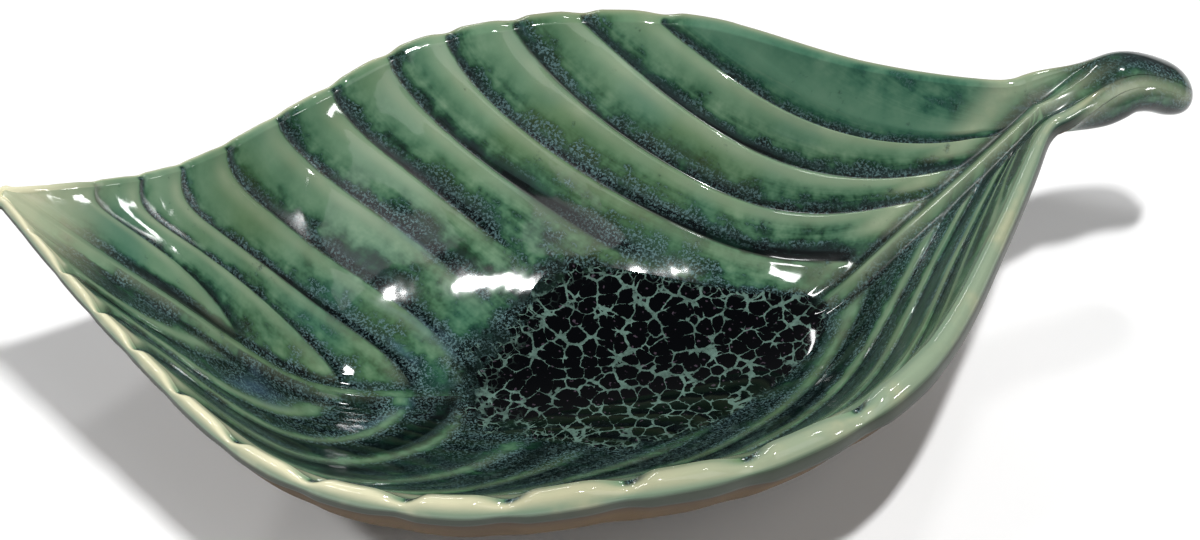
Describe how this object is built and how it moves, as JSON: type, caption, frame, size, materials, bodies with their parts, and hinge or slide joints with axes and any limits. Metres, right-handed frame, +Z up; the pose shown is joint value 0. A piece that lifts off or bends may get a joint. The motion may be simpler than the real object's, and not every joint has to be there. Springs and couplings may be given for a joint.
{
  "type": "leaf shaped dish",
  "caption": "Deep glazed stoneware dish in the shape of a leaf, with a veined inside, scalloped lip, curled stem and oval foot ring.",
  "frame": {"origin": "centre of the whole dish in plan, on the table under the foot ring", "axes": "+Z up, -X towards the tip of the leaf, +X towards the stem, -Y towards the near side of the picture"},
  "size_m": [0.2836, 0.1564, 0.0768],
  "materials": {
    "stoneware": "bare brown stoneware, matt and slightly gritty",
    "green_glaze": "glossy green glass, cream on edges, dark teal speckle in the grooves",
    "pool_glass": "glossy black glass with a pale teal crackle net"
  },
  "bodies": {
    "root": {"leaf_body": "stoneware", "stem_handle": "stoneware", "foot_ring": "stoneware", "interior_glaze": "green_glaze", "stem_glaze": "green_glaze", "glaze_pool": "pool_glass"}
  },
  "joints": []
}
